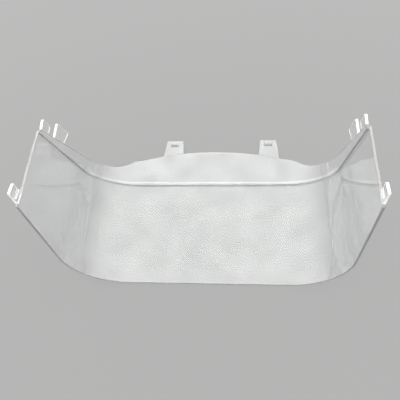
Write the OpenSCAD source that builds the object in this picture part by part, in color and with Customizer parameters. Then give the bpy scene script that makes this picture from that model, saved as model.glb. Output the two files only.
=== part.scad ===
// Clear clip-on sneeze guard: a U-shaped sheet with a lapped rear collar,
// two sprung latch tabs, four side lugs and two rim hooks.
// It lies on its main panel. X is across, +Y is the latch side, +Z is up.

/* [Sheet] */
// Overall width across the outside of the two side wings
guard_w = 382; // [340:2:420]
// Thickness of every clear sheet
sheet = 3; // [2.5:0.5:4]
// Inside radius of the two bends between the panel and the wings
bend_r = 74; // [60:1:90]
// Depth of the flat panel, from its front edge to the step in front of the collar
panel_d = 175; // [160:1:190]
// Height of the wing's rim at the front edge
rim_front_z = 200.5; // [180:0.5:215]
// How much the rim rises for each millimetre towards the rear
rim_rise = 0.1; // [0:0.01:0.12]
// How much the wing's front edge leans back for each millimetre of height
front_lean = 0.02; // [0:0.01:0.05]
// How much the step leans forward for each millimetre of height
step_lean = 0.34; // [0.25:0.01:0.4]

/* [Rear collar] */
// Width of the lap where the collar is bonded inside the sheet
lap = 4.5; // [4:0.5:8]
// Width of the collar behind the step, down at the panel
collar_w = 29; // [26:0.5:34]
// How much the collar's rear edge leans forward for each millimetre of height
collar_lean = 0.47; // [0.44:0.01:0.47]
// Distance from the front edge to the top of the collar's arched rear edge
arch_d = 237; // [230:1:244]
// Radius of the arched rear edge
arch_r = 430; // [400:5:500]
// Half width of the arch, where its sloping ends begin
arch_half_w = 132; // [126:1:138]

/* [Latch tabs] */
// Sideways place of the left latch tab
latch_left_x = -68.5; // [-85:0.5:-60]
// Sideways place of the right latch tab
latch_right_x = 93.5; // [60:0.5:95]
// Distance from the front edge to the left tab's root
latch_left_root = 226.5; // [224:0.5:228]
// Distance from the front edge to the right tab's root
latch_right_root = 221; // [218:0.5:222]
// Distance from the front edge to the tips of both tabs
latch_tip = 264; // [258:0.5:270]
// Width of a tab at its root
latch_root_w = 34; // [30:0.5:38]
// Width of a tab at its tip
latch_tip_w = 27.5; // [24:0.5:30]
// Width of the window in a tab
window_w = 13; // [10:0.5:16]
// Length of the window in a tab
window_l = 6; // [5:0.5:8]
// Distance from the tip to the window
window_setback = 8.5; // [7:0.5:10]
// Length of the sloping lead-in at the tip
lead_in = 4; // [3:0.5:6]
// Running gap around a tab's root, so that it can flex
latch_gap = 0.3; // [0.2:0.05:0.5]

/* [Lugs and hooks] */
// Height of the lower side lug along the collar's rear edge
lower_lug_h = 25; // [20:1:30]
// Reach of the lower side lug behind the collar
lower_lug_l = 21; // [15:1:24]
// Height above the floor of the lower side lug's bottom corner
lower_lug_z = 155; // [150:1:158]
// How much taller the lower side lug is at its tip, above and below
lower_lug_flare = 3.5; // [0:0.5:5]
// Height of the upper side lug, down from the rim
upper_lug_h = 16.5; // [12:0.5:20]
// Reach of the upper side lug behind the collar
upper_lug_l = 14; // [10:1:20]
// Upward tilt of the upper side lug, in degrees
upper_lug_tilt = 16; // [0:1:25]
// Width of a rim hook
hook_w = 14; // [12:1:18]
// Height of a rim hook above the rim
hook_h = 20.5; // [16:0.5:24]
// Height of the hook's catch rib above the rim
hook_catch_h = 8.5; // [7:0.5:10]
// How far the catch rib stands out
hook_catch = 1.5; // [1:0.25:2]

/* [Hidden] */
$fn = 96;
half_w = guard_w / 2;
outer_r = bend_r + sheet;
flat_half_w = half_w - outer_r;
// Everything is drawn from the front edge, then moved so that the part is centred
centre_y = latch_tip / 2;
// Height that every profile reaches before the rim plane trims it
over_z = rim_front_z + 60;
collar_d = panel_d + collar_w;
// Size of the chamfers on the corners of tabs, lugs and hooks
edge_round = 2;

// Places in a side view, as distances from the front edge and heights
function front_y(z) = front_lean * z;
function step_y(z) = panel_d - step_lean * z;
function lap_y(z) = step_y(z) - lap;
function collar_y(z) = collar_d - collar_lean * z;
function rim_z(y) = rim_front_z + rim_rise * y;

// Point where a side line y = d - lean * z meets the rim line
function rim_point(d, lean) =
    let (z = (rim_front_z + rim_rise * d) / (1 + rim_rise * lean)) [d - lean * z, z];

// Region inside the U-shaped section, set in from its outer face
module section_inside(inset) {
    translate([-flat_half_w, inset]) square([2 * flat_half_w, outer_r - inset]);
    translate([-half_w + inset, outer_r])
        square([2 * (half_w - inset), over_z - outer_r]);
    for (side = [-1, 1])
        translate([side * flat_half_w, outer_r]) circle(r = outer_r - inset);
}

// The U-shaped sheet at one depth in the section, long enough to be trimmed
module bent_sheet(inset) {
    translate([0, arch_d + 10, 0]) rotate([90, 0, 0]) linear_extrude(arch_d + 20)
        difference() {
            section_inside(inset);
            section_inside(inset + sheet);
            translate([-half_w, over_z - 1]) square([2 * half_w, 2]);
        }
}

// A side view outline of distances and heights, extruded across the width
module across(x0, x1, outline) {
    translate([x0, 0, 0]) rotate([90, 0, 90]) linear_extrude(x1 - x0) polygon(outline);
}

// A plate parallel to one wing, set in from its outer face, from its side view outline
module wing_plate(side, inset, outline) {
    low_x = side > 0 ? half_w - inset - sheet : -half_w + inset;
    across(low_x, low_x + sheet, outline);
}

module centred() {
    translate([0, -centre_y, 0]) children();
}

module guard_sheet() {
    color([0.86, 0.88, 0.89, 0.45]) centred()
        intersection() {
            bent_sheet(0);
            across(-half_w - 1, half_w + 1, [
                [front_y(-1), -1], [step_y(-1), -1],
                rim_point(panel_d, step_lean), rim_point(0, -front_lean)]);
        }
}

// Height of the bend's inner face at a sideways place
function bend_z(x) = outer_r - sqrt(bend_r * bend_r - pow(x - flat_half_w, 2));

// Plan outline of the collar's arched middle, with its sloping ends
module arch_plan() {
    shoulder_y = arch_d - arch_r + sqrt(arch_r * arch_r - arch_half_w * arch_half_w);
    slope_end = arch_half_w + 27;
    slope_y = collar_y(bend_z(slope_end));
    intersection() {
        translate([0, arch_d - arch_r]) circle(r = arch_r, $fn = 180);
        polygon([
            [-slope_end, panel_d], [slope_end, panel_d],
            [slope_end, slope_y], [arch_half_w, shoulder_y],
            [arch_half_w, arch_d + 1], [-arch_half_w, arch_d + 1],
            [-arch_half_w, shoulder_y], [-slope_end, slope_y]]);
    }
}

// Seat that a latch tab's root takes out of the collar
module latch_seat(x, root) {
    w = latch_root_w + 2 * latch_gap;
    translate([x - w / 2, root - sheet / 2 - latch_gap, sheet - 1])
        cube([w, arch_d, sheet + 2]);
}

module rear_collar() {
    color([0.8, 0.83, 0.84, 0.45]) centred()
        difference() {
            intersection() {
                bent_sheet(sheet);
                union() {
                    across(-half_w - 1, half_w + 1, [
                        [lap_y(-1), -1], [collar_y(-1), -1],
                        rim_point(collar_d, collar_lean),
                        rim_point(panel_d - lap, step_lean)]);
                    linear_extrude(outer_r) arch_plan();
                }
            }
            latch_seat(latch_left_x, latch_left_root);
            latch_seat(latch_right_x, latch_right_root);
        }
}

// Plan outline of a latch tab, from its root line to its chamfered tip
module latch_plan(root) {
    half_root = latch_root_w / 2;
    half_tip = latch_tip_w / 2;
    difference() {
        polygon([
            [-half_root, root], [half_root, root],
            [half_tip, latch_tip - edge_round], [half_tip - edge_round, latch_tip],
            [edge_round - half_tip, latch_tip], [-half_tip, latch_tip - edge_round]]);
        translate([-window_w / 2, latch_tip - window_setback - window_l])
            square([window_w, window_l]);
    }
}

module latch_tab(x, root) {
    mid_z = 1.5 * sheet;
    color([0.93, 0.95, 0.96, 0.6]) centred() translate([x, 0, 0]) {
        difference() {
            translate([0, 0, sheet]) linear_extrude(sheet) latch_plan(root);
            // Lead-in that slopes down to the tip
            across(-latch_tip_w, latch_tip_w, [
                [latch_tip - lead_in, 2 * sheet], [latch_tip + 1, 2 * sheet],
                [latch_tip + 1, sheet + 1]]);
        }
        // Rounded root that turns in its seat
        translate([-latch_root_w / 2, root, mid_z]) rotate([0, 90, 0])
            cylinder(d = sheet, h = latch_root_w);
    }
}

module latch_tab_left() { latch_tab(latch_left_x, latch_left_root); }
module latch_tab_right() { latch_tab(latch_right_x, latch_right_root); }

// Lug that continues the collar straight back from its rear edge
module lower_lug(side) {
    z0 = lower_lug_z;
    z1 = lower_lug_z + lower_lug_h;
    low = [collar_y(z0) + lower_lug_l, z0 - lower_lug_flare];
    high = [collar_y(z1) + lower_lug_l, z1 + lower_lug_flare];
    color([0.93, 0.95, 0.96, 0.6]) centred()
        wing_plate(side, sheet, [
            [collar_y(z0), z0], low - [edge_round, 0], low + [0, edge_round],
            high - [0, edge_round], high - [edge_round, 0], [collar_y(z1), z1]]);
}

module lower_lug_left() { lower_lug(-1); }
module lower_lug_right() { lower_lug(1); }

// Lug that continues the collar back and up from its rim corner
module upper_lug(side) {
    corner = rim_point(collar_d, collar_lean);
    z0 = corner.y - upper_lug_h;
    along = [cos(upper_lug_tilt), sin(upper_lug_tilt)];
    high = corner + along * upper_lug_l;
    low = [high.x + 5, z0 + 1.5];
    color([0.93, 0.95, 0.96, 0.6]) centred()
        wing_plate(side, sheet, [
            [collar_y(z0), z0], low - [edge_round, 0], low + [0, edge_round],
            high - [0, edge_round], high - along * edge_round, corner]);
}

module upper_lug_left() { upper_lug(-1); }
module upper_lug_right() { upper_lug(1); }

// Plate on the rim's front corner, with a catch rib along its inner face
module rim_hook(side) {
    y0 = front_y(rim_front_z) + 2.5;
    y1 = y0 + hook_w;
    top = rim_z(y0) + hook_h;
    inner = side * (half_w - sheet);
    rib_z = rim_z(y0) + hook_catch_h;
    color([0.93, 0.95, 0.96, 0.6]) centred() {
        wing_plate(side, 0, [
            [y0, rim_z(y0)], [y1, rim_z(y1)], [y1, top - edge_round],
            [y1 - edge_round, top], [y0 + edge_round, top], [y0, top - edge_round]]);
        translate([0, y1, 0]) rotate([90, 0, 0]) linear_extrude(hook_w)
            polygon([
                [inner, rib_z], [inner - side * hook_catch, rib_z],
                [inner - side * hook_catch, rib_z + 1], [inner, rib_z + 4]]);
    }
}

module rim_hook_left() { rim_hook(-1); }
module rim_hook_right() { rim_hook(1); }

guard_sheet();
rear_collar();
latch_tab_left();
latch_tab_right();
lower_lug_left();
lower_lug_right();
upper_lug_left();
upper_lug_right();
rim_hook_left();
rim_hook_right();
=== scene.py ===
"""Looks of the clear clip-on sneeze guard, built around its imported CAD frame."""
import math

import bmesh
import bpy
from mathutils import Matrix, Vector


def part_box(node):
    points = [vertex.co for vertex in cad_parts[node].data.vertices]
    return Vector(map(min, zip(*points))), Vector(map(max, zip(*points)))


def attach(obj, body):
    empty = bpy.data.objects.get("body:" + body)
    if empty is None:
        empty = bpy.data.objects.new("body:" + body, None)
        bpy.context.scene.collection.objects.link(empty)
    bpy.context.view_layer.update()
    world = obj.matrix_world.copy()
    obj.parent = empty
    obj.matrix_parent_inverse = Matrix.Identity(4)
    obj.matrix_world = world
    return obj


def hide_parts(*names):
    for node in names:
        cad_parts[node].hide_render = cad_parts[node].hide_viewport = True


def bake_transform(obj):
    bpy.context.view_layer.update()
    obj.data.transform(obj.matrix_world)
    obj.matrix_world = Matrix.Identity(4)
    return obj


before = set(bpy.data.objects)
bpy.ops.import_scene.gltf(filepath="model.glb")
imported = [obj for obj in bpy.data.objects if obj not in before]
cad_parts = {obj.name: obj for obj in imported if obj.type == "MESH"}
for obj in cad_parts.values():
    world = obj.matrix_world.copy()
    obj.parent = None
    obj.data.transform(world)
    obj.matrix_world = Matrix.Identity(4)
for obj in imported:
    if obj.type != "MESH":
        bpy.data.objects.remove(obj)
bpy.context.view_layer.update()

# ---------------------------------------------------------------- sizes

MM = 0.001

# The bent sheet and the collar, as in the CAD part
SHEET = 3 * MM
BEND_R = 74 * MM
FRONT_LEAN = 0.02
STEP_LEAN = 0.34
COLLAR_LEAN = 0.47
RIM_RISE = 0.1
LAP = 4.5 * MM
COLLAR_W = 29 * MM
ARCH_R = 430 * MM
ARCH_HALF_W = 132 * MM
ARCH_SLOPE_W = 27 * MM

# The latch tabs, as in the CAD part
LATCH_ROOT_W = 34 * MM
LATCH_TIP_W = 27.5 * MM
WINDOW_W = 13 * MM
WINDOW_L = 6 * MM
WINDOW_SETBACK = 8.5 * MM
LEAD_IN = 4 * MM
LEAD_IN_DROP = 1.6 * MM

# The lugs and hooks, as in the CAD part
LOWER_LUG_Z = 155 * MM
LOWER_LUG_H = 25 * MM
UPPER_LUG_H = 16.5 * MM
UPPER_LUG_TOE = 1.5 * MM
UPPER_LUG_CUT = 5 * MM
HOOK_CATCH_H = 8.5 * MM
HOOK_CATCH = 1.5 * MM
CATCH_LIP_H = 1 * MM
CATCH_SLOPE_H = 4 * MM
CATCH_END_GAP = 1 * MM
CORNER_R = 2 * MM

# Air left between pieces that are bonded, so that no two clear faces coincide
JOINT_GAP = 0.04 * MM
# Polished edges
EDGE_R = 0.4 * MM
EDGE_SEGMENTS = 3
EDGE_MIN_TURN = 35
# Size of the cement bead along the lap, which is milky white as a painted highlight
BEAD_R = 0.8 * MM

# Places read from the frame
sheet_low, sheet_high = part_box("guard_sheet")
collar_low, collar_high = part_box("rear_collar")
HALF_W = sheet_high[0]
FRONT_Y = sheet_low[1]
STEP_Y = sheet_high[1]
ARCH_Y = collar_high[1]
LATCH_TIP_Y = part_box("latch_tab_left")[1][1]
OUTER_R = BEND_R + SHEET
FLAT_HALF_W = HALF_W - OUTER_R
# The rim's highest point is where it meets the step
RIM_FRONT_Z = sheet_high[2] - RIM_RISE * (STEP_Y - STEP_LEAN * sheet_high[2] - FRONT_Y)

# How finely the faces are divided
BEND_STEPS = 28
FLAT_STEPS = 24
WING_STEPS = 10
SHEET_ROWS = 10
COLLAR_ROWS = 6
TAB_ROOT_ROWS = 8
CORNER_STEPS = 4

# ---------------------------------------------------------------- edge lines


def mix(a, b, t):
    return a + (b - a) * t


def front_y(x, z):
    """Depth of the sheet's front edge."""
    return FRONT_Y + FRONT_LEAN * z


def step_y(x, z):
    """Depth of the sheet's rear edge, which shows as a step on the collar."""
    return STEP_Y - STEP_LEAN * z


def lap_y(x, z):
    """Depth of the collar's front edge, under the sheet."""
    return STEP_Y - LAP - STEP_LEAN * z


def bead_front(x, z):
    return step_y(x, z) + JOINT_GAP


def bead_rear(x, z):
    return step_y(x, z) + BEAD_R


def arch_y(x):
    """Depth of the arch's circle at a sideways place."""
    return ARCH_Y - ARCH_R + math.sqrt(ARCH_R ** 2 - min(abs(x), ARCH_HALF_W) ** 2)


def collar_y(x, z):
    """Depth of the collar's rear edge: the arch in the middle, then a slope, then the lean."""
    base = STEP_Y + COLLAR_W - COLLAR_LEAN * z
    past = abs(x) - ARCH_HALF_W
    if past > ARCH_SLOPE_W:
        return base
    if past <= 0:
        return max(base, arch_y(x))
    slope_x = ARCH_HALF_W + ARCH_SLOPE_W - FLAT_HALF_W
    slope_z = OUTER_R - math.sqrt(BEND_R ** 2 - slope_x ** 2)
    slope_end = STEP_Y + COLLAR_W - COLLAR_LEAN * slope_z
    return max(base, mix(arch_y(x), slope_end, past / ARCH_SLOPE_W))


def rim_z(y):
    """Height of the wings' rims."""
    return RIM_FRONT_Z + RIM_RISE * (y - FRONT_Y)


def rim_corner_z(edge, x):
    """Height where an edge line meets the rim."""
    z = RIM_FRONT_Z
    for _ in range(30):
        z = rim_z(edge(x, z))
    return z


# ---------------------------------------------------------------- meshes


def thick_patch(face_a, face_b, cells):
    """Closed solid between two faces with the same cells, walled along their open edges."""
    bm = bmesh.new()
    a = [bm.verts.new(p) for p in face_a]
    b = [bm.verts.new(p) for p in face_b]
    edges = {}
    for cell in cells:
        bm.faces.new([a[i] for i in cell])
        bm.faces.new([b[i] for i in reversed(cell)])
        edges.update(dict.fromkeys(zip(cell, cell[1:] + cell[:1])))
    for i, j in edges:
        if (j, i) not in edges:
            wall = bm.faces.new([a[j], a[i], b[i], b[j]])
            wall.material_index = 1
    return bm


def rounded(outline, radius):
    """Outline with each corner replaced by a curve that starts radius away from it."""
    points = []
    for i, corner in enumerate(outline):
        before = (outline[i - 1] - corner).normalized() * radius
        after = (outline[(i + 1) % len(outline)] - corner).normalized() * radius
        for k in range(CORNER_STEPS + 1):
            t = k / CORNER_STEPS
            points.append(corner + before * (1 - t) ** 2 + after * t ** 2)
    return points


def piece(name, bm, materials, body, node):
    """Turns a solid into a smooth piece with polished edges that stands for a CAD node."""
    bmesh.ops.recalc_face_normals(bm, faces=bm.faces)
    mesh = bpy.data.meshes.new(name)
    bm.to_mesh(mesh)
    bm.free()
    mesh.shade_smooth()
    for material in materials:
        mesh.materials.append(material)
    obj = bpy.data.objects.new(name, mesh)
    bpy.context.scene.collection.objects.link(obj)
    bevel = obj.modifiers.new("polished_edges", "BEVEL")
    bevel.width = EDGE_R
    bevel.segments = EDGE_SEGMENTS
    bevel.limit_method = "ANGLE"
    bevel.angle_limit = math.radians(EDGE_MIN_TURN)
    bevel.harden_normals = True
    bevel.material = 1
    if node:
        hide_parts(node)
    if body:
        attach(obj, body)
    return obj


def sheet_columns():
    """Stations across the U, from the left rim to the right one: side, kind and how far along."""
    half = [("flat", i / FLAT_STEPS) for i in range(1, FLAT_STEPS + 1)]
    half += [("bend", i / BEND_STEPS) for i in range(1, BEND_STEPS + 1)]
    half += [("wing", i / WING_STEPS) for i in range(1, WING_STEPS + 1)]
    left = [(-1, kind, t) for kind, t in reversed(half)]
    return left + [(1, "flat", 0.0)] + [(1, kind, t) for kind, t in half]


def sheet_point(column, inset, front, rear, depth):
    """Point on the sheet, set in from its outer face, between a front and a rear edge line."""
    side, kind, t = column
    if kind == "flat":
        x, z = side * FLAT_HALF_W * t, inset
        ends = [(z, front(x, z)), (z, rear(x, z))]
    elif kind == "bend":
        angle, r = t * math.pi / 2, OUTER_R - inset
        x, z = side * (FLAT_HALF_W + r * math.sin(angle)), OUTER_R - r * math.cos(angle)
        ends = [(z, front(x, z)), (z, rear(x, z))]
    else:
        x = side * (HALF_W - inset)
        ends = []
        for edge in (front, rear):
            z = mix(OUTER_R, rim_corner_z(edge, x), t)
            ends.append((z, edge(x, z)))
    z = mix(ends[0][0], ends[1][0], depth)
    return Vector((x, mix(ends[0][1], ends[1][1], depth), z))


def bent_sheet(outer, front, rear, rows):
    """The U-shaped sheet between two edge lines, whose outer face is set in by outer."""
    columns = sheet_columns()
    faces = []
    for inset in (outer, outer + SHEET):
        faces.append([sheet_point(c, inset, front, rear, row / rows)
                      for c in columns for row in range(rows + 1)])
    cells = []
    for c in range(len(columns) - 1):
        for row in range(rows):
            i, j = c * (rows + 1) + row, (c + 1) * (rows + 1) + row
            cells.append([i, j, j + 1, i + 1])
    return thick_patch(faces[0], faces[1], cells)


def lap_highlight_bead():
    """Bead of cement that fills the corner between the sheet's rear edge and the collar, milky
    white as a painted highlight along the crease.
    """
    bm = bmesh.new()
    rings = []
    for column in sheet_columns():
        rings.append([bm.verts.new(sheet_point(column, inset, bead_front, edge, depth))
                      for inset, edge, depth in (
                          (SHEET - BEAD_R, bead_front, 0), (SHEET - JOINT_GAP, bead_front, 0),
                          (SHEET - JOINT_GAP, bead_rear, 1))])
    for ring, following in zip(rings, rings[1:]):
        for i in range(3):
            j = (i + 1) % 3
            bm.faces.new([ring[i], ring[j], following[j], following[i]])
    bm.faces.new(rings[0])
    bm.faces.new(rings[-1])
    return bm


def latch_tab(centre_x):
    """Slotted tab that grows out of the arch, as rows of cells with the window left out."""
    window_back = LATCH_TIP_Y - WINDOW_SETBACK
    window_front = window_back - WINDOW_L
    lead_in_front = LATCH_TIP_Y - LEAD_IN
    rows = [("root", t / TAB_ROOT_ROWS) for t in range(TAB_ROOT_ROWS + 1)]
    rows += [("at", window_back), ("at", lead_in_front), ("at", LATCH_TIP_Y - LEAD_IN / 2),
             ("at", LATCH_TIP_Y)]
    columns = (-1, -0.5, 0, 0.5, 1)
    bottom, top = [], []
    for kind, value in rows:
        for c in columns:
            # The window's sides stay straight while the outer sides draw in
            x = c * WINDOW_W
            y = value if kind == "at" else mix(
                arch_y(centre_x + c * LATCH_ROOT_W / 2) + JOINT_GAP, window_front, value)
            if abs(c) == 1:
                root = arch_y(centre_x)
                draw = min(max((y - root) / (LATCH_TIP_Y - root), 0), 1)
                x = c * mix(LATCH_ROOT_W, LATCH_TIP_W, draw) / 2
            drop = max(0, (y - lead_in_front) / LEAD_IN) * LEAD_IN_DROP
            bottom.append(Vector((centre_x + x, y, SHEET)))
            top.append(Vector((centre_x + x, y, 2 * SHEET - drop)))
    cells = []
    for r in range(len(rows) - 1):
        for c in range(len(columns) - 1):
            if r == TAB_ROOT_ROWS and c in (1, 2):
                continue
            i, j = r * len(columns) + c, (r + 1) * len(columns) + c
            cells.append([i, i + 1, j + 1, j])
    bm = thick_patch(bottom, top, cells)
    # The window's far wall gets a nearly opaque white edge material, a painted highlight
    for face in bm.faces:
        if all(abs(v.co.y - window_back) < EDGE_R
               and abs(v.co.x - centre_x) <= WINDOW_W / 2 + EDGE_R for v in face.verts):
            face.material_index = 2
    return bm


def wing_plate(side, inset, outline):
    """Plate parallel to a wing, from its side view outline of depths and heights."""
    points = rounded([Vector(p) for p in outline], CORNER_R)
    faces = []
    for face in (inset, inset + SHEET):
        x = side * (HALF_W - face)
        faces.append([Vector((x, p.x, p.y)) for p in points])
    return thick_patch(faces[0], faces[1], [list(range(len(points)))])


def add_catch_rib(bm, side, front, rear, base_z):
    """Adds the wedge-shaped catch along a hook's inner face."""
    root = side * (HALF_W - SHEET - JOINT_GAP)
    lip = side * (HALF_W - SHEET - HOOK_CATCH)
    rings = [[bm.verts.new((x, y, base_z + z)) for x, z in (
        (root, 0), (lip, 0), (lip, CATCH_LIP_H), (root, CATCH_SLOPE_H))] for y in (front, rear)]
    for i in range(4):
        j = (i + 1) % 4
        bm.faces.new([rings[0][i], rings[0][j], rings[1][j], rings[1][i]])
    for ring in rings:
        bm.faces.new(ring)


# ---------------------------------------------------------------- materials

IOR = 1.49
EVEN = (1, 1, 1)
# Noise scales, with how many octaves each has
RUB_SCALE, RUB_DETAIL = 38, 6
CLOUD_SCALE, CLOUD_DETAIL = 24, 4
SCRATCH_SCALE, SCRATCH_DETAIL = 26, 2
WAVE_SCALE, WAVE_DETAIL = 9, 1
GRAIN_SCALE, GRAIN_DETAIL = 160, 2
# Share of the haze where the cloud is thinnest and thickest
CLOUD_THIN, CLOUD_THICK = 0.5, 1.7
# Stretch and turn of the two sets of hairline scratches, and how milky they are
SCRATCHES = (((1, 30, 30), 20), ((26, 1, 26), -35))
SCRATCH_HAZE = 0.16
WAVE_STRENGTH = 0.06
WAVE_DEPTH = 2 * MM
EDGE_ROUGHNESS = 0.12
# How much darker the grain of a cut edge gets, and what shadows behind it keep
GRAIN_SHADE = 0.86
EDGE_SHADOW_TINT = (0.9, 0.9, 0.9)


def new_material(name):
    mat = bpy.data.materials.new(name)
    mat.use_nodes = True
    mat.node_tree.nodes.clear()
    return mat, mat.node_tree.nodes.new, mat.node_tree.links.new


def see_through(node, link, surface, tint):
    """Lets shadow and bounce light pass straight through a clear surface."""
    path = node("ShaderNodeLightPath")
    straight = node("ShaderNodeMath")
    straight.operation = "MAXIMUM"
    see = node("ShaderNodeBsdfTransparent")
    see.inputs["Color"].default_value = (*tint, 1)
    blend = node("ShaderNodeMixShader")
    out = node("ShaderNodeOutputMaterial")
    link(path.outputs["Is Shadow Ray"], straight.inputs[0])
    link(path.outputs["Is Diffuse Ray"], straight.inputs[1])
    link(straight.outputs[0], blend.inputs[0])
    link(surface, blend.inputs[1])
    link(see.outputs["BSDF"], blend.inputs[2])
    link(blend.outputs["Shader"], out.inputs["Surface"])


def scaled_noise(node, link, place, scale, stretch, turn, detail):
    """Noise in object space, stretched along one direction when stretch isn't even."""
    mapping = node("ShaderNodeMapping")
    mapping.inputs["Scale"].default_value = stretch
    mapping.inputs["Rotation"].default_value = (0, 0, math.radians(turn))
    noise = node("ShaderNodeTexNoise")
    noise.inputs["Scale"].default_value = scale
    noise.inputs["Detail"].default_value = detail
    link(place.outputs["Object"], mapping.inputs["Vector"])
    link(mapping.outputs["Vector"], noise.inputs["Vector"])
    return noise.outputs["Fac"]


def remap(node, link, value, from_range, to_range):
    """Value mapped from one range to another, and held inside it."""
    span = node("ShaderNodeMapRange")
    span.inputs["From Min"].default_value, span.inputs["From Max"].default_value = from_range
    span.inputs["To Min"].default_value, span.inputs["To Max"].default_value = to_range
    link(value, span.inputs["Value"])
    return span.outputs["Result"]


def combine(node, link, operation, a, b):
    """Result of a math node on two sockets."""
    math_node = node("ShaderNodeMath")
    math_node.operation = operation
    link(a, math_node.inputs[0])
    link(b, math_node.inputs[1])
    return math_node.outputs[0]


def clear_plastic(name, tint, haze, roughness):
    """Clear sheet with a milky haze that comes and goes, soft waviness and hairline scratches."""
    mat, node, link = new_material(name)
    shader = node("ShaderNodeBsdfPrincipled")
    shader.inputs["Base Color"].default_value = (*tint, 1)
    shader.inputs["IOR"].default_value = IOR
    place = node("ShaderNodeTexCoord")

    rub = scaled_noise(node, link, place, RUB_SCALE, EVEN, 0, RUB_DETAIL)
    link(remap(node, link, rub, (0.35, 0.75), roughness), shader.inputs["Roughness"])

    cloud = scaled_noise(node, link, place, CLOUD_SCALE, EVEN, 0, CLOUD_DETAIL)
    clear = remap(node, link, cloud, (0.3, 0.7), (1 - haze * CLOUD_THIN, 1 - haze * CLOUD_THICK))
    for stretch, turn in SCRATCHES:
        line = scaled_noise(node, link, place, SCRATCH_SCALE, stretch, turn, SCRATCH_DETAIL)
        cut = remap(node, link, line, (0.71, 0.78), (0, SCRATCH_HAZE))
        clear = combine(node, link, "SUBTRACT", clear, cut)
    link(clear, shader.inputs["Transmission Weight"])

    wave = scaled_noise(node, link, place, WAVE_SCALE, EVEN, 0, WAVE_DETAIL)
    bump = node("ShaderNodeBump")
    bump.inputs["Strength"].default_value = WAVE_STRENGTH
    bump.inputs["Distance"].default_value = WAVE_DEPTH
    link(wave, bump.inputs["Height"])
    link(bump.outputs["Normal"], shader.inputs["Normal"])
    see_through(node, link, shader.outputs["BSDF"], tint)
    return mat


def cut_edge(name, colour, haze):
    """Edge of a sheet with a milky white share; where that share is large it is a painted
    highlight, standing in for light piped out along the sheet.
    """
    mat, node, link = new_material(name)
    shader = node("ShaderNodeBsdfPrincipled")
    shader.inputs["Transmission Weight"].default_value = 1 - haze
    shader.inputs["IOR"].default_value = IOR
    shader.inputs["Roughness"].default_value = EDGE_ROUGHNESS
    place = node("ShaderNodeTexCoord")
    grain = scaled_noise(node, link, place, GRAIN_SCALE, EVEN, 0, GRAIN_DETAIL)
    shade = node("ShaderNodeMix")
    shade.data_type = "RGBA"
    # On a colour mix, inputs 6 and 7 are the two colours and output 2 is the result
    shade.inputs[6].default_value = (*(c * GRAIN_SHADE for c in colour), 1)
    shade.inputs[7].default_value = (*colour, 1)
    link(remap(node, link, grain, (0.3, 0.7), (0, 1)), shade.inputs[0])
    link(shade.outputs[2], shader.inputs["Base Color"])
    see_through(node, link, shader.outputs["BSDF"], EDGE_SHADOW_TINT)
    return mat


def matt(name, colour, roughness):
    """Plain stage surface."""
    mat, node, link = new_material(name)
    shader = node("ShaderNodeBsdfPrincipled")
    shader.inputs["Base Color"].default_value = (*colour, 1)
    shader.inputs["Roughness"].default_value = roughness
    out = node("ShaderNodeOutputMaterial")
    link(shader.outputs["BSDF"], out.inputs["Surface"])
    return mat


# Tint, haze and range of roughness of the clear faces
sheet_plastic = clear_plastic("clear_sheet", (0.965, 0.975, 0.975), 0.03, (0.01, 0.05))
collar_plastic = clear_plastic("clear_collar", (0.955, 0.968, 0.968), 0.04, (0.01, 0.06))
fitting_plastic = clear_plastic("clear_fittings", (0.965, 0.975, 0.972), 0.05, (0.02, 0.08))
# Colour and haze of the edges
rim_edge = cut_edge("rim_edge", (0.93, 0.90, 0.89), 0.22)
collar_edge = cut_edge("collar_edge", (0.93, 0.93, 0.92), 0.08)
# The lugs' and hooks' edges are made milky white as a painted highlight
painted_highlight_edge = cut_edge("painted_highlight_edge", (0.97, 0.97, 0.96), 0.55)
# The slot's far wall is nearly opaque white, a painted highlight
painted_highlight_slot_wall = cut_edge("painted_highlight_slot_wall", (0.97, 0.97, 0.96), 0.8)
# The bead along the lap is milky white, a painted highlight of the crease
bead_painted_highlight = cut_edge("cement_bead_painted_highlight", (0.95, 0.95, 0.94), 0.45)
sheet_look = (sheet_plastic, rim_edge)
collar_look = (collar_plastic, collar_edge)
tab_look = (collar_plastic, collar_edge, painted_highlight_slot_wall)
fitting_look = (fitting_plastic, painted_highlight_edge)
bead_highlight_look = (bead_painted_highlight, bead_painted_highlight)

# ---------------------------------------------------------------- the guard

piece("bent_clear_sheet", bent_sheet(0, front_y, step_y, SHEET_ROWS),
      sheet_look, "guard", "guard_sheet")
piece("lapped_rear_collar", bent_sheet(SHEET + JOINT_GAP, lap_y, collar_y, COLLAR_ROWS),
      collar_look, "guard", "rear_collar")
# Milky white bead along the lap, a painted highlight of the crease
piece("lap_highlight_bead", lap_highlight_bead(), bead_highlight_look, "guard", None)

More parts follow.
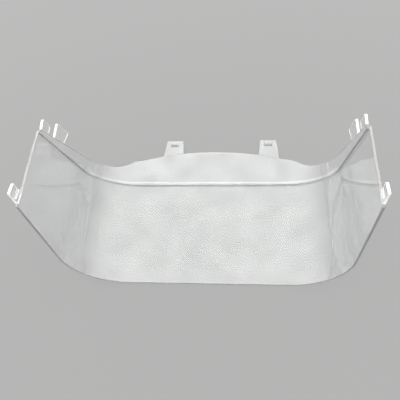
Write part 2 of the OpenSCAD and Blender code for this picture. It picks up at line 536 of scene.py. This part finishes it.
for side_name in ("left", "right"):
    tab_node = "latch_tab_" + side_name
    low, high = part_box(tab_node)
    centre_x = (low[0] + high[0]) / 2
    tab = piece("sprung_" + tab_node, latch_tab(centre_x), tab_look, None, tab_node)
    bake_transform(tab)

for side, side_name in ((-1, "left"), (1, "right")):
    low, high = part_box("lower_lug_" + side_name)
    top_z = LOWER_LUG_Z + LOWER_LUG_H
    seat_low, seat_high = collar_y(HALF_W, LOWER_LUG_Z), collar_y(HALF_W, top_z)
    reach = high[1] - seat_low
    outline = [(seat_low + JOINT_GAP, LOWER_LUG_Z), (seat_low + reach, low[2]),
               (seat_high + reach, high[2]), (seat_high + JOINT_GAP, top_z)]
    piece("side_lug_lower_" + side_name, wing_plate(side, SHEET, outline),
          fitting_look, "guard", "lower_lug_" + side_name)

    low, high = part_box("upper_lug_" + side_name)
    base_z = low[2]
    corner_z = base_z + UPPER_LUG_H
    outline = [(collar_y(HALF_W, base_z) + JOINT_GAP, base_z),
               (high[1], base_z + UPPER_LUG_TOE), (high[1] - UPPER_LUG_CUT, high[2]),
               (collar_y(HALF_W, corner_z) + JOINT_GAP, corner_z)]
    piece("side_lug_upper_" + side_name, wing_plate(side, SHEET, outline),
          fitting_look, "guard", "upper_lug_" + side_name)

    low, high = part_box("rim_hook_" + side_name)
    outline = [(low[1], rim_z(low[1]) + JOINT_GAP), (high[1], rim_z(high[1]) + JOINT_GAP),
               (high[1], high[2]), (low[1], high[2])]
    hook = wing_plate(side, 0, outline)
    add_catch_rib(hook, side, low[1] + CATCH_END_GAP, high[1] - CATCH_END_GAP,
                  rim_z(low[1]) + HOOK_CATCH_H)
    piece("snap_rim_hook_" + side_name, hook, fitting_look, "guard", "rim_hook_" + side_name)

# ---------------------------------------------------------------- stage

FLOOR_COLOUR = (0.175, 0.175, 0.177)
FLOOR_ROUGHNESS = 0.8
FLOOR_SIZE = 12
# Keeps the floor from coinciding with the panel's underside
FLOOR_DROP = 0.15 * MM
bpy.ops.mesh.primitive_plane_add(size=FLOOR_SIZE, location=(0, 0, -FLOOR_DROP))
floor = bpy.context.object
floor.name = "floor"
floor.data.materials.append(matt("pale_floor", FLOOR_COLOUR, FLOOR_ROUGHNESS))

# Soft studio dome, brightest overhead and a little behind the guard
DOME_COLOUR = (1.0, 0.995, 0.98)
DOME_AIM = Vector((-0.05, 0.2, 0.98)).normalized()
DOME_AWAY, DOME_NEAR = -0.1, 0.95
DOME_DIM, DOME_BRIGHT = 0.63, 4.1
MIRRORED_GAIN = 1.8
BACKDROP = 0.92
EXPOSURE = -0.48
world = bpy.data.worlds.new("studio")
world.use_nodes = True
node, link = world.node_tree.nodes.new, world.node_tree.links.new
dome = world.node_tree.nodes["Background"]
dome.inputs["Color"].default_value = (*DOME_COLOUR, 1)
where = node("ShaderNodeTexCoord")
facing = node("ShaderNodeVectorMath")
facing.operation = "DOT_PRODUCT"
facing.inputs[1].default_value = DOME_AIM
glow = node("ShaderNodeMapRange")
glow.interpolation_type = "SMOOTHSTEP"
glow.inputs["From Min"].default_value = DOME_AWAY
glow.inputs["From Max"].default_value = DOME_NEAR
glow.inputs["To Min"].default_value = DOME_DIM
glow.inputs["To Max"].default_value = DOME_BRIGHT
link(where.outputs["Generated"], facing.inputs[0])
link(facing.outputs["Value"], glow.inputs["Value"])
# Mirrored light is stronger, and the open backdrop is a quiet pale grey
path = node("ShaderNodeLightPath")
mirrored = node("ShaderNodeMapRange")
mirrored.inputs["To Min"].default_value = 1
mirrored.inputs["To Max"].default_value = MIRRORED_GAIN
backdrop = node("ShaderNodeMix")
backdrop.inputs["B"].default_value = BACKDROP
lit = combine(node, link, "MULTIPLY", glow.outputs["Result"], mirrored.outputs["Result"])
seen = combine(node, link, "MAXIMUM", path.outputs["Is Camera Ray"],
               path.outputs["Is Transmission Ray"])
link(path.outputs["Is Glossy Ray"], mirrored.inputs["Value"])
link(seen, backdrop.inputs["Factor"])
link(lit, backdrop.inputs["A"])
link(backdrop.outputs["Result"], dome.inputs["Strength"])
scene = bpy.context.scene
scene.world = world
scene.view_settings.view_transform = "Standard"
scene.view_settings.exposure = EXPOSURE

# ---------------------------------------------------------------- camera

# Angles are in degrees
CAMERA_PLACE = (51.8 * MM, FRONT_Y - 219.8 * MM, 560.4 * MM)
CAMERA_YAW = 9.28
CAMERA_PITCH = 56.76
CAMERA_ROLL = 7.77
CAMERA_LENS = 37.42
CAMERA_SENSOR = 36
CAMERA_SHIFT = -0.0175
camera_data = bpy.data.cameras.new("camera")
camera = bpy.data.objects.new("camera", camera_data)
scene.collection.objects.link(camera)
camera_data.sensor_width = CAMERA_SENSOR
camera_data.lens = CAMERA_LENS
camera_data.shift_x = CAMERA_SHIFT
camera_data.dof.use_dof = False
turn = (Matrix.Rotation(math.radians(CAMERA_YAW), 4, "Z")
        @ Matrix.Rotation(math.radians(90 - CAMERA_PITCH), 4, "X")
        @ Matrix.Rotation(math.radians(-CAMERA_ROLL), 4, "Z"))
camera.matrix_world = Matrix.Translation(CAMERA_PLACE) @ turn
scene.camera = camera
